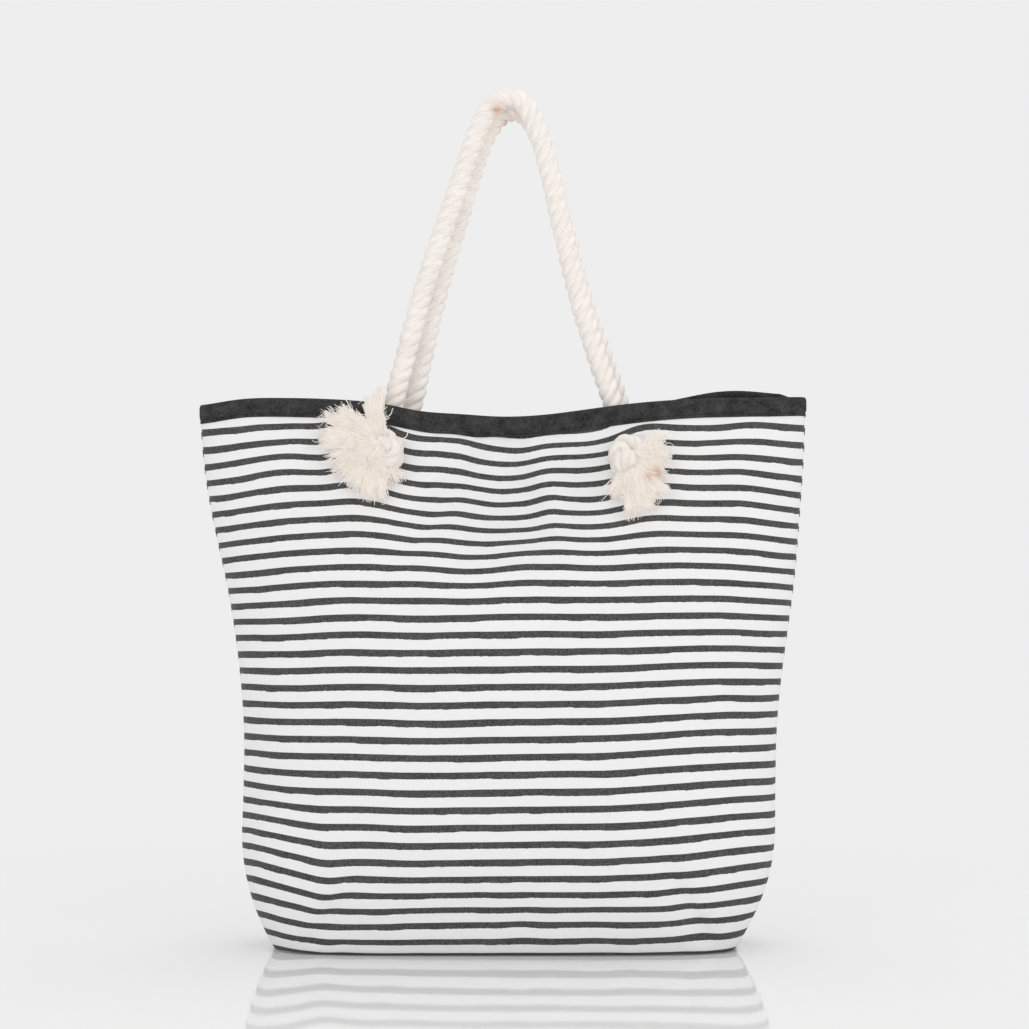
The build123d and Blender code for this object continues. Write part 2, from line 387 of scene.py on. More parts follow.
# %% The form as numbers
panel_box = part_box("front_panel")
base_half, belly_half = 187.8, 216.5
mouth_half = float(panel_box[1][0] - panel_box[0][0]) / MM / 2
base_half_depth, belly_half_depth, mouth_half_depth = 56, 79, 29
bag_height = float(panel_box[1][2]) / MM
base_square, belly_square, mouth_square = 4.4, 2.4, 2.05
base_round, flare_start, lean_start, lean_curve = 100, 152, 208, 1.6
hem_round = 5
pinch_start, pinch_end, pinch_spread = 276, 390, 62
snap_depth = 6.8
mouth_shift = -3.5   # the mouth leans a little to the left
base_tuck, tuck_height = 3.4, 42   # the base's right end is tucked in
print("mouth", round(2 * mouth_half, 1), "panel height", round(bag_height, 1))

# %% How wide and deep each level is
def blend(low, high, share):
    share = np.clip(share, 0, 1)
    return low + (high - low) * share * share * (3 - 2 * share)


def rise_above(z, start):
    """0 at a height where something starts, and 1 at the rim."""
    return (z - start) / (bag_height - start)


def rounded_base(z, base, belly):
    return belly - (belly - base) * np.clip(1 - z / base_round, 0, 1) ** 2


def half_width(z):
    flare = blend(0, mouth_half - belly_half, rise_above(z, flare_start))
    return rounded_base(z, base_half, belly_half) + flare


def side_depth(z):
    lean = np.clip(rise_above(z, lean_start), 0, 1.1) ** lean_curve
    low = rounded_base(z, base_half_depth, belly_half_depth)
    return low - (belly_half_depth - mouth_half_depth) * lean


def middle_depth(z):
    share = (z - pinch_start) / (pinch_end - pinch_start)
    return blend(side_depth(z), snap_depth, share)


def squareness(z):
    upper = blend(0, mouth_square - belly_square, rise_above(z, flare_start))
    return blend(base_square, belly_square, z / flare_start) + upper


print("half width and depth at the belly", half_width(flare_start).round(1), side_depth(flare_start))

# %% The rim and the lean
# Each bump: where it is, how far it spreads and how high it is. Those of the rim go along x.
rim_top = 444.3
rim_bumps = [(2, 100, -15), (-252, 28, -5), (250, 30, 1.5)]
front_rim_bumps = [(-70, 26, -2.6)]
back_rim_bumps = [(185, 48, 8.5)]
back_rise_end, back_rise_fade = 238, 14   # the rise ends before the corner
lean_bumps = [(190, 110, 2.6), (290, 60, 2.6)]


def bumps(at, table):
    return sum(high * hill(at, middle, spread) for middle, spread, high in table)


def sideways_lean(z):
    """How far each level stands to the right of the middle."""
    return mouth_shift * blend(0, 1, rise_above(z, lean_start)) + bumps(z, lean_bumps)


def rim_height(x, side):
    """The rim sags at the snap, and its left corner hangs. The back rises a little on the right."""
    height = rim_top + bumps(x, rim_bumps)
    if side < 0:
        return height + bumps(x, front_rim_bumps)
    return height + bumps(x, back_rim_bumps) * blend(0, 1, (back_rise_end - x) / back_rise_fade)


print("front rim at the middle", rim_height(0, -1).round(1))

# %% [markdown]
# ## Folds
#
# Soft canvas creases where the snap pulls and above the corners of the base. Sculpted folds
# would stay behind when a size changes. Here each is one row of numbers: a long soft ridge or
# valley that is added to the wall.

# %% Folds in the cloth
# Each fold: where (x, z), its half length and half width, its height, and its slope in degrees.
front_folds = [
    (-58, 352, 62, 11, -5, 52), (-34, 392, 36, 9, 3, 80), (30, 372, 55, 11, 3.5, 105),
    (58, 392, 40, 10, -3, 75), (-205, 150, 62, 9, -4, 90), (-138, 34, 46, 9, -4.5, 55),
    (146, 34, 44, 9, -4.5, 122), (-215, 250, 45, 10, -2.5, 78), (205, 235, 50, 11, -2.5, 100),
    (-10, 300, 70, 16, 3, 8), (-170, 405, 45, 12, 2, 40), (175, 400, 45, 12, 2, 140),
    (0, 14, 150, 8, 2, 0),
]
back_folds = [
    (48, 345, 60, 12, -5, 130), (-40, 365, 50, 11, -3.5, 62), (205, 150, 60, 9, -4, 92),
    (-200, 200, 55, 10, -3, 84), (140, 34, 46, 9, -4.5, 122), (-140, 36, 42, 9, -4, 58),
    (0, 290, 80, 16, 3, 172), (160, 400, 45, 12, 2, 140), (-150, 395, 45, 12, 2.5, 40),
]
unevenness = [(1.6, 55, 3.1), (0.8, 24, 9.7)]   # height, size and seed of soft waves
flat_base, flat_seam, least_rounding = 12, 1.6, 0.35   # folds die out at base and seams
seam_crowding = 2.6
print("folds:", len(front_folds), "in front and", len(back_folds), "at the back")


def wall_bumps(x, z, table):
    """The sum of soft bumps over a wall, level or sloping."""
    total = np.zeros_like(x)
    for at_x, at_z, length, width, height, *slope in table:
        c, s = np.cos(np.radians(sum(slope))), np.sin(np.radians(sum(slope)))
        along = (x - at_x) * c + (z - at_z) * s
        across = (z - at_z) * c - (x - at_x) * s
        total += height * hill(along, 0, length) * hill(across, 0, width)
    return total


def soft_noise(x, z, size, seed):
    flat = [smooth_noise(Vector((a / size, b / size, seed))) for a, b in zip(x.ravel(), z.ravel())]
    return np.array(flat).reshape(x.shape)


# %% A point of the wall
def wall_point(side, share, z, inset=0.0, folds=True):
    """A point of the front (side -1) or back (side 1) wall, share of the way from the middle."""
    square = squareness(z)
    x = (half_width(z) - inset) * share
    gathered = hill(x, 0, pinch_spread)
    depth = side_depth(z) * (1 - gathered) + middle_depth(z) * gathered - inset
    rounding = np.clip(1 - np.abs(share) ** square, 0, 1) ** (1 / square)
    x = x + sideways_lean(z) - base_tuck * np.clip(share, 0, 1) * hill(z, 0, tuck_height)
    under = np.clip(1 - z / hem_round, 0, 1)
    depth = depth - hem_round * (1 - np.sqrt(1 - under**2))
    if folds:
        pushed = wall_bumps(x, z, front_folds if side < 0 else back_folds)
        for height, size, seed in unevenness:
            pushed += height * soft_noise(x, z, size, seed + side)
        pushed *= np.clip(rounding * flat_seam, 0, 1) * np.clip(z / flat_base, 0, 1)
        depth = depth + pushed / np.maximum(rounding, least_rounding)
    return together(x, side * depth * rounding, z)


def spread_out(count):
    """Places across a panel from -1 to 1, closer together towards the seams."""
    even = np.linspace(-1, 1, count)
    return np.sign(even) * (1 - (1 - np.abs(even)) ** seam_crowding)


# %% [markdown]
# ## Cloth that knows its own length
#
# Stripes are printed on flat canvas before it is sewn, so they are an even distance apart along
# the cloth, not along the height. The mesh therefore stores how far each point lies up the
# cloth, and stripes draw together by themselves where the wall leans. No print is sewn quite
# square, so small drifts are added where the rim and the handles pull it.

# %% Where the print drifts
# Each drift: where (x, z), how far it spreads (x, z), and how far it lowers the print there.
front_drift = [
    (38, 430, 46, 30, 15.5), (-55, 430, 28, 24, 8), (-82, 418, 26, 30, 7), (78, 414, 30, 28, 8),
    (-76, 372, 29, 38, 9.5), (74, 368, 31, 42, 10.5), (22, 398, 28, 28, 5.5), (-22, 400, 30, 32, 5),
    (-28, 305, 26, 26, 3), (14, 318, 34, 17, -3.5), (-178, 425, 30, 30, 3), (72, 420, 24, 18, 2),
    (-175, 250, 36, 150, 1.8), (-70, 190, 40, 140, 1.3), (150, 350, 30, 28, 2.5),
    (150, 422, 42, 44, 9), (-252, 385, 60, 130, 13.5), (-150, 412, 20, 55, 4),
    (-143, 48, 17, 48, 2.6), (190, 0, 90, 15, 3.6),
    (250, 395, 58, 115, 11.5), (175, 150, 75, 120, -4.8), (-205, 62, 40, 60, -8.5),
    (-250, 210, 30, 40, 3), (205, 60, 45, 60, -4), (20, 22, 130, 26, -4),
]
back_drift = [
    (-30, 425, 60, 30, 9), (245, 400, 45, 100, 8), (-250, 400, 45, 100, 7),
    (-150, 160, 80, 110, -4), (200, 60, 45, 60, -6),
]

print("most the front print is lowered:", max(drift[-1] for drift in front_drift))

# %% One panel
base_rows, row_crowding = 7, 1.15
cloth_middle = 200   # height at which the print runs level


def panel_grid(side, columns, rows, inset=0.0, top_drop=0.0):
    """Points of one panel from the seam under the base up to the rim, with cloth lengths."""
    share = spread_out(columns)[None, :]
    at_rim = wall_point(side, share, np.full_like(share, bag_height), inset, False)[..., 0]
    top = rim_height(at_rim, side) - top_drop
    rise = np.linspace(0, 1, rows)[:, None] ** row_crowding
    wall = wall_point(side, np.repeat(share, rows, 0), inset + rise * (top - inset), inset)
    base = np.repeat(wall[:1], base_rows, 0)
    base[..., 1] *= np.arange(base_rows)[:, None] / base_rows
    grid = np.concatenate([base, wall])
    up = travelled(grid)
    level = [np.interp(cloth_middle, z, way) for z, way in zip(wall[..., 2].T, up[base_rows:].T)]
    across = travelled(grid[base_rows + rows // 2])
    across -= across[-1] / 2
    drift = wall_bumps(grid[..., 0], grid[..., 2], front_drift if side < 0 else back_drift)
    return grid, together(across, up - np.array(level) + cloth_middle + drift, side)


def grid_piece(name, grid, cloth, flip=False):
    """A piece from a grid of points, which stores where each lies on the cloth."""
    rows, columns, _ = grid.shape
    index = np.arange(rows * columns).reshape(rows, columns)
    corners = [index[:-1, :-1], index[:-1, 1:], index[1:, 1:], index[1:, :-1]]
    faces = np.stack(corners[::-1] if flip else corners, -1).reshape(-1, 4).tolist()
    make_piece(name, grid.reshape(-1, 3), faces, {"cloth": cloth.reshape(-1, 3)})


def cloth_piece(name, side, panel, thickness):
    """A panel with a thickness that grows inwards."""
    grid_piece(name, *panel, side > 0)
    solid = pieces[name].modifiers.new("thickness", "SOLIDIFY")
    solid.thickness = thickness * MM
    solid.offset = -1


# %% Both panels and the lining
canvas, cloth_gap, lining = 1.2, 0.3, 0.7
lining_drop = 0.3
canvas_net, lining_net = (241, 150), (161, 100)   # columns and rows of points
panels = {}
for side, name in ((1, "back"), (-1, "front")):
    panels[name] = panel_grid(side, *canvas_net)
    cloth_piece(f"{name}_canvas", side, panels[name], canvas)
    inner = panel_grid(side, *lining_net, canvas + cloth_gap, lining_drop)
    cloth_piece(f"{name}_inner", side, inner, lining)
    printed = panels[name][1][..., 1]
    print(name, "cloth from", printed.min().round(), "to", printed.max().round())

# %% [markdown]
# ## The rim tape
#
# A dark twill tape is folded over the raw edge and sewn through all layers. A tube along the
# rim would look like piping, so a flat channel with a groove for the stitches is swept: up the
# outside, over the edge and down the inside. It puckers where the snap gathers the mouth.

# %% The tape
tape_width, stitch_drop = 14.4, 11.8
tape_bulge, bulge_spread = 0.13, 115   # the tape is wider where the rim dips
pucker_x, pucker_spread = -18, 34
# Each point of the profile's outside: how far under the rim, and how far it stands off.
tape_outside = [(tape_width, 0.15), (tape_width - 0.3, 1), (stitch_drop + 1.1, 1.15),
                (stitch_drop, 0.55), (stitch_drop - 1.1, 1.2), (9, 1.5), (5, 1.55), (1.5, 1.5)]
flat_row = 6   # the profile point in the middle of the tape's flat
tape_points, seam_points = 361, 900


def rim_line(side, share, drop, inset):
    """Points at a given drop under the rim, outside (negative inset) or inside it."""
    at_rim = wall_point(side, share, np.full_like(share, bag_height), inset, False)[..., 0]
    wider = 1 + tape_bulge * hill(at_rim, 0, bulge_spread)
    return wall_point(side, share, rim_height(at_rim, side) - drop * wider, inset)


def tape_piece(name, side):
    """The tape's profile carried along the rim, with ripples that grow to its free edge."""
    inner = canvas + cloth_gap + lining
    profile = [(drop, -stand) for drop, stand in tape_outside]
    profile += [(-0.9, -0.7), (-1.3, 0.8), (-0.9, inner + 0.4)]
    profile += [(drop, inner + stand) for drop, stand in reversed(tape_outside)]
    share = spread_out(tape_points)
    grid = np.array([rim_line(side, share, drop, inset) for drop, inset in profile])
    across = travelled(grid[flat_row])
    pucker = hill(grid[flat_row, :, 0], pucker_x, pucker_spread)
    wave = np.sin(across / 2.9) + 0.6 * np.sin(across / 1.9 + 1.3)
    ripple = 0.35 * np.sin(across / 11 + 0.7 * np.sin(across / 37)) * np.sin(across / 61)
    for row in range(len(tape_outside)):
        free = 1 - row / len(tape_outside)
        grid[row, :, 1] += side * free * (pucker * (1.0 + 0.55 * wave) + ripple)
        grid[row, :, 2] += 0.8 * pucker * np.sin(across / 6.5) * free
    drops = np.array(profile)[:, :1]
    grid_piece(name, grid, together(across, drops, side), side > 0)


# %% Its stitches
stitch_length, stitch_gap = 3.2, 1.1
stitch_stand, thread_radius = 0.75, 0.32
stitch_step = 0.5   # points along the seam are this far apart


def stitch_row(bundle, side):
    """Short raised stitches along the groove of the tape."""
    share = spread_out(seam_points)[3:-3]
    line = evenly(rim_line(side, share, stitch_drop, -stitch_stand), stitch_step)
    step = int(round((stitch_length + stitch_gap) / stitch_step))
    keep = int(round(stitch_length / stitch_step))
    arch = np.sin(np.linspace(0, np.pi, keep + 1))
    for start in range(0, len(line) - keep - 1, step):
        part = line[start : start + keep + 1].copy()
        part[:, 1] += side * (0.28 * arch - 0.12)
        bundle.tube(part[::2], thread_radius, 6, start * 0.37)


for side, name in ((-1, "front"), (1, "back")):
    tape_piece(f"{name}_tape", side)
    stitches = Bundle()
    stitch_row(stitches, side)
    stitches.make(f"{name}_tape_stitches")
    print(name, "tape points", len(pieces[f"{name}_tape"].data.vertices))

# %% [markdown]
# ## Side seams
#
# The panels meet at the two sides in a seam that is turned to the inside. Outside, the doubled
# cloth shows as a low ridge. A bevel on the panels would disturb the print, so a thin rolled
# edge is laid along the joint, printed like the front panel beside it.

# %% Seam ridges
ridge_radii = (1.1, 1.5)
ridge_points, ridge_turn = 9, 115
print_shift = 2.2   # the print is wrapped a little round the ridge


def side_seam(name, hand):
    """A narrow rolled edge where the panels meet."""
    grid, cloth = (part[base_rows:, -1 if hand > 0 else 0] for part in panels["front"])
    keep = grid[:, 2] < rim_height(grid[:, 0], -1) - tape_width + 2
    middle, print_up = grid[keep], cloth[keep, 1]
    turns = np.linspace(-ridge_turn, ridge_turn, ridge_points) + (0 if hand > 0 else 180)
    turns = np.radians(turns)
    ring = together(ridge_radii[0] * np.cos(turns), ridge_radii[1] * np.sin(turns), 0)
    ridge = middle[:, None] - [0.35 * hand, 0, 0] + ring
    grid_piece(name, ridge, together(hand * 240 + 0 * turns, print_up[:, None] + print_shift, -1))


for hand, name in ((-1, "left_seam"), (1, "right_seam")):
    side_seam(name, hand)
    print(name, "points", len(pieces[name].data.vertices))

# %% [markdown]
# ## Knots
#
# Each rope end is tied in an overhand knot that can't slip back through its eyelet. A lumpy
# ball would miss the crossing strands, so the same twisted rope is swept along a tied line,
# drawn about the eyelet's own axis so that it turns with the leaning wall.

# %% Where an eyelet sits
eyelet_x, eyelet_height = 98, 396


def eyelet_axes(hand, side):
    """The eyelet's place on the wall, and its across, up and outward directions."""
    def depth_at(x, z):
        return abs(wall_point(side, x / half_width(z), z, folds=False)[1])

    x, z = hand * eyelet_x, eyelet_height
    slope_x = depth_at(x + 0.5, z) - depth_at(x - 0.5, z)
    slope_z = depth_at(x, z + 0.5) - depth_at(x, z - 0.5)
    outward = np.array([-slope_x, side, -slope_z])
    outward /= np.linalg.norm(outward)
    across = np.array([1.0, 0, 0]) - outward * outward[0]
    across /= np.linalg.norm(across)
    up = -side * np.cross(outward, across)
    return np.array([x, side * depth_at(x, z), z]), np.array([across, up, outward])


def placed(points, axes):
    """Turns (across, up, out) about an eyelet into places in the frame."""
    place, directions = axes
    return place + np.asarray(points, float) @ directions


# %% Tying one knot
knot_rope_radius, knot_step = 7.8, 1.2   # the rope is pulled thin in its knot
knot_guides, ring_lifts = 13, (8.5, 19)   # the ring starts low and ends on top


def knot_line(centre, radii, start, turned, leave):
    """The line of a knot seen from outside: out of the eyelet and round a flattened ring.

    centre and radii shape the ring, start and turned are its first and last angle in degrees,
    and leave is where the strands part."""
    angles = np.radians(np.linspace(start, start + turned, knot_guides))
    tighter = np.linspace(1.0, 0.8, knot_guides)
    ring = together(centre[0] + radii[0] * tighter * np.cos(angles),
                    centre[1] + radii[1] * tighter * np.sin(angles),
                    np.linspace(*ring_lifts, knot_guides))
    return np.concatenate([[(0, 0, -2), (0, 0, 4)], ring, [leave]])


def tied_knot(name, axes, line, turn):
    knot = Bundle()
    line = evenly(nurbs_line(placed(line, axes), order=4), knot_step)
    twisted_rope(knot, line, turn, knot_rope_radius)
    knot.make(name)


# %% [markdown]
# ## Frayed ends
#
# Beyond the knot the strands are unlaid and combed out into a brush of soft yarns. Hair
# particles would be quick, but they give no mesh. So each lock is a bent room filled
# with fine tubes: a padded core, long yarns that lean together, and short frizz.

# %% The room one strand fills
brush_lift = 2   # no yarn comes nearer to the wall
yarn_points = np.linspace(0, 1, 7)


def strand_room(root, tip, narrow, wide, thick, bow):
    """A function that places points in a combed-out strand, and its three directions.

    narrow and wide are its half widths at the root and the tip, thick is its half thickness
    there, and bow is how far its middle arches up."""
    root, tip = np.array(root, float), np.array(tip, float)
    ahead = (tip - root) / np.linalg.norm(tip - root)
    sideways = np.cross([0.0, 0.0, 1.0], ahead)
    sideways /= np.linalg.norm(sideways)
    above = np.cross(ahead, sideways)
    middle = (root + tip) / 2 + above * bow

    def inside(t, a, b):
        t, a, b = (np.asarray(v, float)[..., None] for v in (t, a, b))
        centre = (1 - t) ** 2 * root + 2 * t * (1 - t) * middle + t * t * tip
        width = narrow + (wide - narrow) * np.clip(t, 0, 1.1) ** 0.8
        depth = narrow + (thick - narrow) * np.clip(t, 0, 1)
        return centre + sideways * a * width + above * b * depth

    return inside, ahead, sideways, above


# %% Core, yarns and frizz
yarn_count, frizz_count, lock_count = 300, 100, 11
yarn_radius, frizz_radius, hair_radius = 0.42, 0.36, 0.34
lock_lean, stray_lean, shake = 2.4, 1.6, 0.05   # how far locks, yarns and their points stray
core_lengths = np.array([-0.05, 0.0, 0.12, 0.3, 0.48, 0.62, 0.72, 0.78, 0.8])
core_sizes = np.array([0.1, 0.35, 0.6, 0.68, 0.62, 0.52, 0.4, 0.25, 0.1])


def padded_core(brush, axes, draw, inside):
    """A lumpy body that lies hidden under the yarns."""
    turns = ring_turns(16)
    size = core_sizes[:, None] * (1 + 0.1 * draw.normal(size=(len(core_lengths), len(turns))))
    along = np.repeat(core_lengths[:, None], len(turns), 1)
    core = inside(along, size * np.cos(turns), size * np.sin(turns))
    brush.skin(placed(core, axes), core_lengths * 30, 0)


def add_yarn(brush, axes, draw, line, radius, taper):
    """A thin tube that never touches the wall and tapers by a share of its radius."""
    line[:, 2] = np.maximum(line[:, 2], brush_lift)
    brush.tube(placed(line, axes), radius * (1 - taper * yarn_points), 3, draw.random() * 9)


def combed_yarns(brush, axes, draw, inside):
    """Long yarns over the core. Each belongs to a lock, and leans and ends with it."""
    t = yarn_points
    locks = draw.random(lock_count) * 2 * np.pi
    leans = draw.normal(size=(lock_count, 3)) * lock_lean
    reaches = 0.8 + 0.26 * draw.random(lock_count)
    for _ in range(yarn_count):
        phi, out = draw.random() * 2 * np.pi, 0.7 + 0.34 * draw.random()
        lock = np.argmin(1 - np.cos(phi - locks))
        begin, end = draw.random() * 0.45, reaches[lock] * (0.9 + 0.14 * draw.random())
        along = begin + (end - begin) * t
        drift = np.cumsum(draw.normal(size=(len(t), 2)), 0) * shake
        line = inside(along, out * np.cos(phi) + drift[:, 0], out * np.sin(phi) + drift[:, 1])
        stray = draw.normal(size=3) * stray_lean
        line = line + leans[lock] * (t**2)[:, None] + stray * (t**3)[:, None]
        add_yarn(brush, axes, draw, line, yarn_radius, 0.45)


def frizz(brush, axes, draw, inside, ahead, sideways, above):
    """Short curled hairs that stand off the yarns."""
    t = yarn_points
    for _ in range(frizz_count):
        phi, at = draw.random() * 2 * np.pi, 0.1 + 0.85 * draw.random()
        outward = sideways * np.cos(phi) + above * np.sin(phi)
        go = ahead * (0.4 + draw.random()) + outward * (0.3 + 0.5 * draw.random())
        go = (go + draw.normal(size=3) * 0.4) * (3 + 3.5 * draw.random())
        curl = np.cross(go, outward) * 0.22 * np.sin(5 * t[:, None] + phi)
        line = inside(at, 0.85 * np.cos(phi), 0.85 * np.sin(phi)) + go * t[:, None] + curl
        add_yarn(brush, axes, draw, line, frizz_radius, 0.4)


def tuft(brush, axes, draw, shape):
    inside, *directions = strand_room(*shape)
    padded_core(brush, axes, draw, inside)
    combed_yarns(brush, axes, draw, inside)
    frizz(brush, axes, draw, inside, *directions)


def stray_threads(brush, axes, draw, places):
    """A few single hairs, curled, that stand off the knot."""
    t = np.linspace(0, 1, 12)[:, None]
    for start, end in np.array(places, float):
        curl = np.hstack([np.sin(t * 9 + start[0]), np.cos(t * 7), t * 0])
        line = start + (end - start) * t + curl * 1.3 * t
        brush.tube(placed(line, axes), hair_radius, 4, draw.random() * 9)


# %% The four ends
# Each tuft: root and tip as (across, up, out), half widths at root and tip, thickness and bow.
ends = {}
ends["front_left"] = {
    "line": knot_line((-2.6, 1.0), (12.0, 13.4), -80, 460, (-14, 6, 19)),
    "tufts": [
        ((-14, 12, 14), (-41, 33, 8), 6, 9, 6, 4), ((-8, 17, 14), (-11, 48, 9), 6, 7, 5, 4),
        ((-15, 8, 17), (-48, 13, 7), 6, 9, 4, 6), ((-15, 1, 16), (-40, -9, 6), 6, 8, 6, 4),
        ((-12, -3, 16), (-29, -25, 6), 7, 10, 6, 4), ((-7, -6, 15), (-10, -35, 6), 7, 10, 6, 3),
        ((-7, 7, 19), (-28, 14, 19), 7, 13, 5, 3), ((-5, 9, 19), (-12, 27, 17), 6, 10, 5, 2),
        ((-3, 3, 20), (-13, -14, 18), 7, 12, 5, 2), ((2, -9, 12), (4, -19, 9), 6, 7, 5, 2),
    ],
    "threads": [((9, 14, 8), (18, 11, 7)), ((8, 10, 8), (19, 17, 9)), ((9, 2, 7), (16, -3, 6)),
                ((-4, 26, 12), (7, 37, 10)), ((-30, 40, 9), (-34, 52, 8))],
}
ends["front_right"] = {
    "line": knot_line((-0.5, -2.5), (9.5, 12.5), 250, -470, (4, -14, 19)),
    "tufts": [
        ((9, 0, 14), (28, 5, 9), 8, 10.5, 6, 4), ((8, -7, 15), (29, -9, 8), 7, 10, 6, 4),
        ((-2, -16, 14), (-9, -35, 6), 6, 7, 4, 3), ((4, -18, 16), (6, -49, 6), 6, 8.5, 5, 4),
        ((9, -17, 16), (23, -37, 8), 6, 9.5, 4, 4), ((4, -4, 19), (18, -6, 17), 7, 13, 5, 2),
        ((3, -12, 18), (10, -30, 16), 6, 10, 4, 2),
    ],
    "threads": [((26, 10, 9), (35, 15, 8)), ((6, -46, 6), (2, -56, 6)), ((26, -18, 9), (34, -23, 8))],
    "marks": [((22, -18, 14), 4.6), ((15, -22, 17), 4.0)],
}
ends["back_left"] = {
    "line": knot_line((3, -3), (12.5, 14), 100, 460, (12, -8, 18)),
    "tufts": [
        ((13, -6, 15), (43, 12, 8), 6, 13, 6, 4), ((12, -8, 17), (46, -14, 7), 6, 12, 6, 4),
        ((8, -14, 16), (30, -40, 6), 6, 12, 6, 4), ((4, -14, 16), (2, -46, 6), 6, 11, 6, 4),
        ((8, -6, 20), (24, -8, 18), 7, 13, 6, 3),
    ],
    "threads": [((30, -30, 8), (40, -36, 8)), ((-4, -40, 6), (-8, -52, 6))],
}
ends["back_right"] = {
    "line": knot_line((-3, -3), (12.5, 14), 80, -460, (-12, -8, 18)),
    "tufts": [
        ((-13, -4, 15), (-42, 16, 8), 6, 12, 6, 4), ((-12, -8, 17), (-47, -10, 7), 6, 12, 6, 4),
        ((-9, -14, 16), (-34, -37, 6), 6, 12, 6, 4), ((-4, -14, 16), (-6, -47, 6), 6, 11, 6, 4),
        ((-8, -6, 20), (-24, -6, 18), 7, 13, 6, 3),
    ],
    "threads": [((-30, -30, 8), (-38, -40, 8)), ((-42, 10, 8), (-50, 18, 8))],
}
print("tufts:", {name: len(end["tufts"]) for name, end in ends.items()})

# %% Their knots and brushes
first_seed = 40
for number, (name, end) in enumerate(ends.items()):
    axes = eyelet_axes(1 if "right" in name else -1, 1 if "back" in name else -1)
    tied_knot(f"{name}_tied_knot", axes, end["line"], number * 1.3)
    draw = np.random.default_rng(first_seed + number)
    brush = Bundle()
    for shape in end["tufts"]:
        tuft(brush, axes, draw, shape)
    stray_threads(brush, axes, draw, end["threads"])
    marks = [(placed(place, axes), radius) for place, radius in end.get("marks", [])]
    brush.make(f"{name}_brush", marks)
    print(name, "at", axes[0].round(1), "with", len(brush.faces), "faces in its brush")

# %% [markdown]
# ## Canvas with printed stripes
#
# An image of the stripes would blur close up, so they are worked out: the cloth length over the
# stripe pitch, of which the fraction is compared with the stripe's share. A little noise moves
# the edges, as ink creeps along the threads, and a fine weave goes into a bump.

# %% Patterns on cloth
def noise(start, vector, scale=1.0, detail=2.0):
    return start.node("ShaderNodeTexNoise", {}, {"Vector": vector, "Scale": scale, "Detail": detail})


def scaled(start, vector, scales):
    return start.node("ShaderNodeVectorMath", {"operation": "MULTIPLY"}, {0: vector, 1: scales})


def patches(start, vector, scales, detail=2.0):
    """A soft noise that is stretched differently each way."""
    return noise(start, scaled(start, vector, scales), 1.0, detail)


def specks(start, vector, scales):
    """Small cells, each with a random value of its own."""
    vector = scaled(start, vector, scales)
    cells = start.node("ShaderNodeVectorMath", {"operation": "FLOOR"}, {0: vector})
    return start.node("ShaderNodeTexWhiteNoise", {"noise_dimensions": "3D"}, {"Vector": cells})


def colours(start, share, dark, light):
    """From one colour to another by share."""
    dark = dark if isinstance(dark, Wire) else (*linear(dark), 1)
    light = light if isinstance(light, Wire) else (*linear(light), 1)
    return start.node("ShaderNodeMix", {"data_type": "RGBA"}, {0: share, 6: dark, 7: light}, output=2)


def weave(across, up, size):
    """Threads that go over and under each other, as a height from -1 to 1."""
    across, up = across * (2 * np.pi / size), up * (2 * np.pi / size)
    return across.math("SINE", across) * up.math("SINE", up)


def raised(start, height, strength, distance):
    sockets = {"Height": height, "Strength": strength, "Distance": distance}
    return start.node("ShaderNodeBump", {}, sockets)


# %% Striped canvas
stripe_pitch, stripe_share, stripe_start = 13.75, 0.41, 13.8
canvas_thread = 1.15
bare_greys, ink_greys = (233, 254), (26, 106)
ink_wander = 1.6   # how far a stripe strays from its row
low_creep, high_creep, ragged_edge = 0.055, 0.015, 0.016   # shares of the pitch


def canvas_material():
    material, shader, start = new_material(
        "striped_canvas_finish", Roughness=0.92, Specular_IOR_Level=0.25, Sheen_Weight=0.1,
        Sheen_Roughness=0.5)
    cloth, (across, up, face) = attribute(start, "cloth")
    wander = patches(start, cloth, (0.016, 0.02, 1.0)) - 0.5
    level = (up - stripe_start + wander * ink_wander) / stripe_pitch
    stripe = level.math("FLOOR", level)
    place = level - stripe
    by_stripe = start.node("ShaderNodeCombineXYZ", {}, {0: across * 0.022, 1: stripe * 3.7, 2: face * 9})
    stroke = noise(start, by_stripe, 1.0, 2.5)
    ragged = specks(start, cloth, (0.9, 1.2, 1.0))
    creep = patches(start, cloth, (0.28, 0.5, 1.0), 3.0)
    step = start.node("ShaderNodeMapRange", {"interpolation_type": "SMOOTHSTEP"}, {
        "Value": stroke, "From Min": 0.44, "From Max": 0.52, "To Min": -0.018, "To Max": 0.024})
    low_edge = 0.5 - stripe_share / 2 + step + (creep - 0.5) * low_creep
    low_edge += (ragged - 0.5) * ragged_edge
    high_edge = 0.5 + stripe_share / 2 + (stroke - 0.5) * 0.05 + (creep - 0.5) * high_creep
    inked = (place > low_edge) * (place < high_edge)
    threads = patches(start, cloth, (0.12, 1.7, 1.0))
    slub = patches(start, cloth, (1.6, 0.9, 1.0))
    speck = specks(start, cloth, (1.25, 1.6, 1.0))
    faded = patches(start, cloth, (0.02, 0.03, 1.0))
    bare = colours(start, threads * 0.6 + slub * 0.4, *bare_greys)
    ink = colours(start, speck * 0.6 + slub * 0.2 + faded * 0.2, *ink_greys)
    relief = raised(start, weave(across, up, canvas_thread) + slub * 1.4, 0.35, 0.0002)
    plug(shader, {"Base Color": colours(start, inked, bare, ink), "Normal": relief})
    return material


finishes = {"striped_canvas": canvas_material()}
print("stripes every", stripe_pitch, "mm,", round(stripe_pitch * stripe_share, 1), "mm wide")

# %% [markdown]
# ## Lining and rim tape
#
# The lining is plain cotton and the tape a worn charcoal twill. They differ only in colours and
# thread size, so one function makes both: specks for threads, and soft patches for wear. A faint
# glow of the lining stands for light that wanders inside the bag.

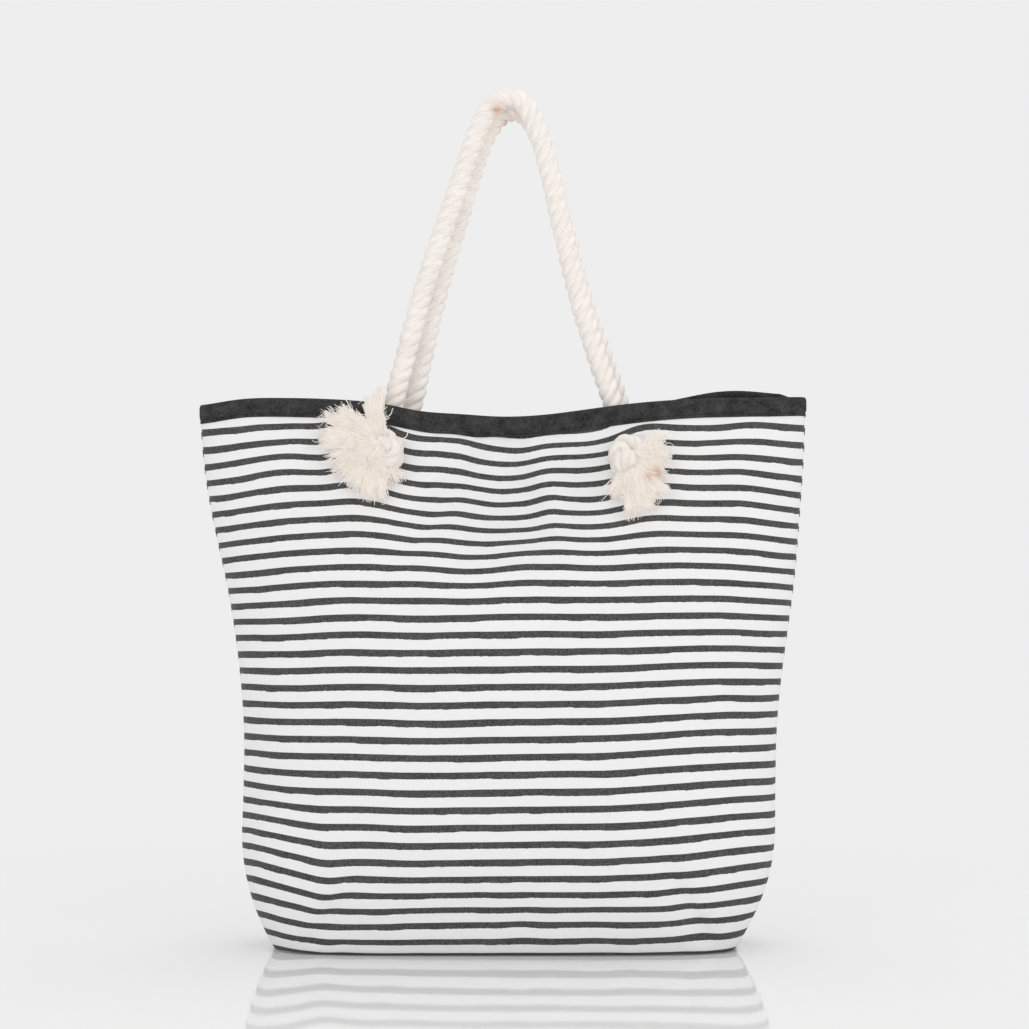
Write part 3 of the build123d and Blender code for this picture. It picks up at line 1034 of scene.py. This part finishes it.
# %% Unprinted cloth
def plain_cloth_material(name, dark, light, size, strength, glow=0.0, sheen=0.0):
    """Woven cloth. size is that of its threads, and strength is how much they stand out."""
    material, shader, start = new_material(
        name, Roughness=0.9, Specular_IOR_Level=0.2, Sheen_Weight=sheen, Sheen_Roughness=0.4,
        Emission_Color=(*linear(light), 1), Emission_Strength=glow)
    cloth, (across, up, _) = attribute(start, "cloth")
    speckle = patches(start, cloth, (1.4, 0.35, 1.0), 3.0)
    patch = patches(start, cloth, (0.09, 0.12, 1.0), 4.0)
    speck = specks(start, cloth, (0.95, 1.1, 1.0))
    colour = colours(start, speckle * 0.3 + speck * 0.35 + patch * 1.1 - 0.37, dark, light)
    relief = raised(start, weave(across, up, size) + speckle * 1.2, strength, 0.0002)
    plug(shader, {"Base Color": colour, "Normal": relief})
    return material


finishes["lining_cotton"] = plain_cloth_material(
    "lining_finish", (214, 210, 202), (238, 235, 229), 0.9, 0.3, glow=0.05)
finishes["binding_tape"] = plain_cloth_material("tape_finish", 0, 84, 0.85, 0.6, sheen=0.04)
print("cloth finishes:", len(finishes))

# %% [markdown]
# ## Cotton rope, yarn and thread
#
# Cotton is matt and furry, and light wanders between its fibres. Subsurface scattering would
# show that, but it is slow and bakes badly, so a sheen and a faint glow stand for it. Fibres run
# along and round each strand, and where a mark is stored, the cotton has browned.

# %% Cotton
brown_cotton = (196, 140, 86)


def cotton_material(name, dark, light, yarn_scale, glow=0.0):
    material, shader, start = new_material(
        name, Roughness=0.95, Specular_IOR_Level=0.15, Sheen_Weight=0.25, Sheen_Roughness=0.45,
        Emission_Strength=glow)
    strand, (along, around, seed) = attribute(start, "strand")
    twisted = start.node("ShaderNodeCombineXYZ", {}, {
        0: along * 0.10, 1: (around * 7 + along * 0.06) * yarn_scale, 2: seed * 3.1})
    fibre = noise(start, twisted, 2.4, 4.0)
    blotch = noise(start, strand, 0.09)
    colour = start.node("ShaderNodeValToRGB", {
        "stops": [(0.3, linear(dark)), (0.62, linear(light))]}, {"Fac": fibre * 0.65 + blotch * 0.35})
    brown = start.node("ShaderNodeAttribute", {"attribute_name": "brown"}, output=2)
    colour = colours(start, brown * fibre * 1.3, colour, brown_cotton)
    relief = raised(start, fibre, 0.5, 0.0006)
    plug(shader, {"Base Color": colour, "Emission Color": colour, "Normal": relief})
    return material


# The knots' cotton is the rope's cotton with darker colours and less glow: painted shade.
finishes |= {
    "rope_cotton": cotton_material("rope_finish", (240, 232, 225), (252, 247, 242), 1.0, 0.045),
    "shaded_knot_cotton": cotton_material("shaded_knot_finish", (232, 224, 216), (247, 241, 235), 1.0, 0.02),
    # The yarns glow most of all: painted light that brightens the tufts.
    "yarn": cotton_material("yarn_finish", (220, 208, 197), (254, 249, 244), 0.4, 0.24),
    "thread": cotton_material("thread_finish", 16, 44, 0.5),
}
print("with cotton:", len(finishes))

# %% [markdown]
# ## Eyelets and snap
#
# Eyelets, washers and the snap are pressed from plated steel. One metal finish is enough for
# parts this small. It varies in grey where it is worn, and a fine grain in its roughness keeps
# it from looking like a mirror.

# %% Metal
def metal_material(name, grey):
    material, shader, start = new_material(name, Metallic=1.0)
    place = start.node("ShaderNodeTexCoord", output="Object")
    grain, wear = noise(start, place, 900.0, 3.0), noise(start, place, 120.0)
    colour = colours(start, wear, grey - 25, grey + 20)
    relief = raised(start, grain, 0.15, 0.0001)
    plug(shader, {"Base Color": colour, "Roughness": grain * 0.2 + 0.24, "Normal": relief})
    return material


finishes["eyelet_metal"] = metal_material("eyelet_finish", 175)
finishes["snap_metal"] = metal_material("snap_finish", 160)
print("finishes:", ", ".join(finishes))

# %% [markdown]
# ## Putting the pieces on the frame
#
# Each piece stands for the solids it covers and takes a slot. A rope cut in two at the rim would
# show a gap when its handle folds, so each rope is one piece from knot to knot. The ropes ride
# on no body; everything else belongs to the bag.

# %% Cloth, tape and seams
def on_bag(name, finish, solid=None):
    """Gives a piece its finish and hangs it on the bag, in place of a solid if one is named."""
    piece = pieces[name]
    piece.data.materials.append(finishes[finish])
    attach(piece, "bag")
    if solid:
        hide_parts(solid)
    return piece


for side_name in ("front", "back"):
    outer = on_bag(f"{side_name}_canvas", "striped_canvas", f"{side_name}_panel")
    inner = on_bag(f"{side_name}_inner", "lining_cotton", f"{side_name}_lining")
    on_bag(f"{side_name}_tape", "binding_tape", f"{side_name}_binding")
    on_bag(f"{side_name}_tape_stitches", "thread")
for name in ("left_seam", "right_seam"):
    on_bag(name, "striped_canvas")
print("sheets and tapes are on the bag")

# %% Ropes, knots and brushes
for side_name, line in rope_lines.items():
    rope = pieces[f"{side_name}_rope"]
    rope.data.materials.append(finishes["rope_cotton"])
    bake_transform(rope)
    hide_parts(f"{side_name}_handle_rope", f"{side_name}_left_rope_end",
                f"{side_name}_right_rope_end")
for name in ends:
    on_bag(f"{name}_tied_knot", "shaded_knot_cotton", f"{name}_knot")
    on_bag(f"{name}_brush", "yarn", f"{name}_frayed_end")
print("pieces:", ", ".join(pieces))

# %% Metal parts keep their solids
metal_nodes = [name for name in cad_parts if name.endswith(("_eyelets", "_washers", "_snap_half"))]
for name in metal_nodes:
    finish = "snap_metal" if name.endswith("snap_half") else "eyelet_metal"
    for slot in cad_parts[name].material_slots:
        slot.material = finishes[finish]
print("metal:", ", ".join(metal_nodes))

# %% [markdown]
# ## The floor
#
# The bag stands on a pale glossy board that mirrors its stripes. A paper sweep would need a
# long bend behind the bag, so farther out the floor fades into a glow of the backdrop's own
# grey instead, and no horizon shows.

# %% Floor
backdrop, board = 238, 250   # greys
reach, floor_drop = 6, 0.0005
fade_start, fade_end = 0.25, 0.95
corners = [(-reach, -reach, 0), (reach, -reach, 0), (reach, reach, 0), (-reach, reach, 0)]
floor_mesh = bpy.data.meshes.new("floor")
floor_mesh.from_pydata(corners, [], [(0, 1, 2, 3)])
floor = bpy.data.objects.new("floor", floor_mesh)
scene.collection.objects.link(floor)
floor.location.z = -floor_drop
material, shader, start = new_material(
    "floor_finish", Base_Color=(*linear(board), 1), Roughness=0.05, IOR=1.25)
spot = start.node("ShaderNodeTexCoord", output="Object")
far = start.node("ShaderNodeVectorMath", {"operation": "LENGTH"}, {0: spot}, output=1)
fade = start.node("ShaderNodeMapRange", {"interpolation_type": "SMOOTHSTEP"},
                  {"Value": far, "From Min": fade_start, "From Max": fade_end})
glow = start.node("ShaderNodeEmission", {}, {"Color": (*linear(backdrop), 1)})
surface = Wire(start.tree, shader.outputs[0])
mixed = start.node("ShaderNodeMixShader", {}, {0: fade, 1: surface, 2: glow})
start.tree.links.new(mixed.socket, start.tree.nodes["Material Output"].inputs["Surface"])
floor_mesh.materials.append(material)
print("floor", 2 * reach, "m wide, backdrop grey", backdrop)

# %% [markdown]
# ## World and lamps
#
# White cotton on a white ground needs light from everywhere, which the world gives. What the
# camera and the mirroring floor see of it has the backdrop's grey. Three wide lamps add a little
# from in front and above, so that folds keep their shading. The floor doesn't mirror them.

# %% World
ambient = 0.745
world = bpy.data.worlds.new("studio")
scene.world = world
world.use_nodes = True
start = Wire(world.node_tree)
rays = start.node("ShaderNodeLightPath").socket.node.outputs
kinds = ("Is Camera Ray", "Is Glossy Ray", "Is Transmission Ray")
seen, mirrored, through = (Wire(start.tree, rays[kind]) for kind in kinds)
shade = start.node("ShaderNodeMix", {"data_type": "RGBA"}, {
    0: seen + mirrored + through, 6: (*[ambient] * 3, 1), 7: (*linear(backdrop), 1)}, output=2)
start.tree.links.new(shade.socket, start.tree.nodes["Background"].inputs["Color"])
print("ambient light", ambient)

# %% Lamps
def soft_lamp(name, place, aim, size, power):
    """A round lamp at a place, turned to what it is aimed at. Metres and watts."""
    data = bpy.data.lights.new(name, "AREA")
    data.shape = "DISK"
    data.size = size
    data.energy = power
    lamp = bpy.data.objects.new(name, data)
    lamp.visible_glossy = False
    lamp.location = place
    lamp.rotation_euler = (Vector(aim) - Vector(place)).to_track_quat("-Z", "Y").to_euler()
    scene.collection.objects.link(lamp)


soft_lamp("front_left_lamp", (-1.2, -2.4, 0.8), (0, 0, 0.05), 1.5, 8.6)
soft_lamp("front_right_lamp", (1.7, -2.1, 0.7), (0, 0, 0.05), 1.5, 10)
soft_lamp("top_lamp", (0.2, 0.4, 2.4), (0, 0, 0.3), 1.4, 7.4)
print("lamps:", len(bpy.data.lights))
